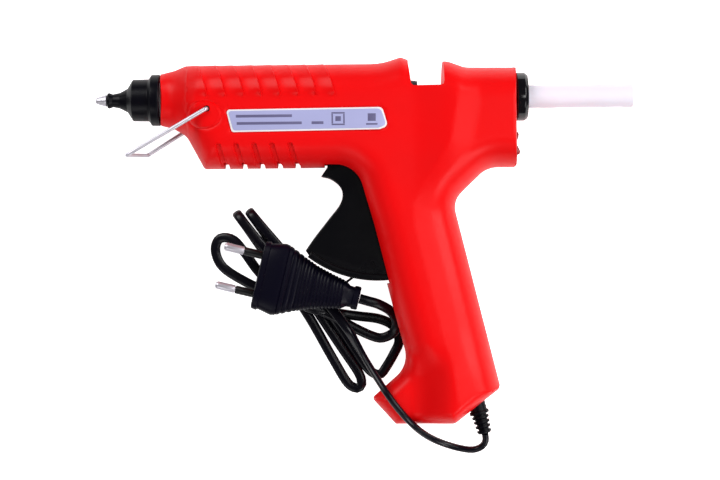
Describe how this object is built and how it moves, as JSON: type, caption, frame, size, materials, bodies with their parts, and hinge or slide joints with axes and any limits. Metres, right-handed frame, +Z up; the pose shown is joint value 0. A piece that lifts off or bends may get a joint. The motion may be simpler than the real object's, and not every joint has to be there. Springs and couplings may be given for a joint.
{
  "type": "hot-melt glue gun",
  "caption": "Large trigger-fed hot-melt glue gun with a two-half housing, wire stand, glue stick and a mains lead tied in a hank.",
  "frame": {"origin": "centre of the bounding box of the gun without its cord, on the table that it lies on", "axes": "+X towards the rear along the glue stick, +Y towards the gun's top, +Z up off the table towards the gun's left side"},
  "size_m": [0.2576, 0.1902, 0.045],
  "materials": {
    "housing": "satin moulded, fine grain",
    "switch": "translucent dark red",
    "rubber": "satin",
    "black_plastic": "satin moulded",
    "grey_plastic": "matte",
    "steel": "bright plated",
    "cast_aluminium": "as cast",
    "ceramic": "insulated heater",
    "lead_insulation": "silicone sleeve",
    "glue": "translucent wax-like",
    "label": "silvered film",
    "cord": "satin PVC"
  },
  "bodies": {
    "housing": {"left_housing": "housing", "right_housing": "housing", "housing_screw_1": "steel", "housing_screw_2": "steel", "housing_screw_3": "steel", "housing_screw_4": "steel", "housing_screw_5": "steel", "label": "label", "nozzle_tip": "steel", "nozzle_cap": "rubber", "melt_chamber": "cast_aluminium", "heater_element": "ceramic", "heater_lead_left": "lead_insulation", "heater_lead_right": "lead_insulation", "inlet_sleeve": "rubber", "sleeve_clamp": "steel", "trigger_pin": "steel", "trigger_spring": "steel", "guide_ring": "black_plastic", "switch_body": "black_plastic", "strain_relief": "rubber", "terminal_block": "grey_plastic", "cord_clamp": "grey_plastic", "clamp_screw_1": "steel", "clamp_screw_2": "steel", "power_cord": "cord", "cord_hank": "cord", "twist_tie": "cord", "plug_body": "black_plastic", "plug_pin_1": "steel", "plug_pin_2": "steel", "pin_sleeve_1": "black_plastic", "pin_sleeve_2": "black_plastic"},
    "trigger": {"trigger": "black_plastic", "link_pin_left": "steel", "link_pin_right": "steel"},
    "carriage": {"feed_carriage": "grey_plastic", "grip_pin": "steel"},
    "links": {"link_left": "steel", "link_right": "steel"},
    "grip": {"grip_lever": "steel"},
    "stick": {"glue_stick": "glue"},
    "stand": {"wire_stand": "steel"},
    "rocker": {"rocker_button": "switch"}
  },
  "joints": [
    {"name": "trigger_squeeze", "type": "hinge", "parent": "housing", "child": "trigger", "pos_m": [0.006, 0.036, 0.0225], "axis": [0, 0, 1], "range_deg": [0, 16], "stiffness_Nm_per_rad": 1, "springref_deg": -11.46},
    {"name": "carriage_feed", "type": "slide", "parent": "housing", "child": "carriage", "axis": [-1, 0, 0], "range_m": [0, 0.0095]},
    {"name": "link_swing", "type": "hinge", "parent": "carriage", "child": "links", "pos_m": [0.061, 0.0615, 0.0225], "axis": [0, 0, 1], "range_deg": [-8, 0]},
    {"name": "grip_bite", "type": "hinge", "parent": "carriage", "child": "grip", "pos_m": [0.0505, 0.0575, 0.0225], "axis": [0, 0, 1], "range_deg": [0, 6]},
    {"name": "stick_feed", "type": "slide", "parent": "housing", "child": "stick", "axis": [-1, 0, 0], "range_m": [-0.05, 0.05]},
    {"name": "stand_swing", "type": "hinge", "parent": "housing", "child": "stand", "pos_m": [-0.0743, 0.063, 0.0225], "axis": [0, 0, 1], "range_deg": [-18, 98]},
    {"name": "rocker_tilt", "type": "hinge", "parent": "housing", "child": "rocker", "pos_m": [0.0705, 0.0458, 0.0225], "axis": [0, 0, 1], "range_deg": [-8, 0]}
  ],
  "couplings": [
    {"joint": "carriage_feed", "follows": "trigger_squeeze", "m_per_rad": 0.0295},
    {"joint": "link_swing", "follows": "trigger_squeeze", "ratio": -0.28},
    {"joint": "grip_bite", "follows": "trigger_squeeze", "ratio": 0.33}
  ]
}
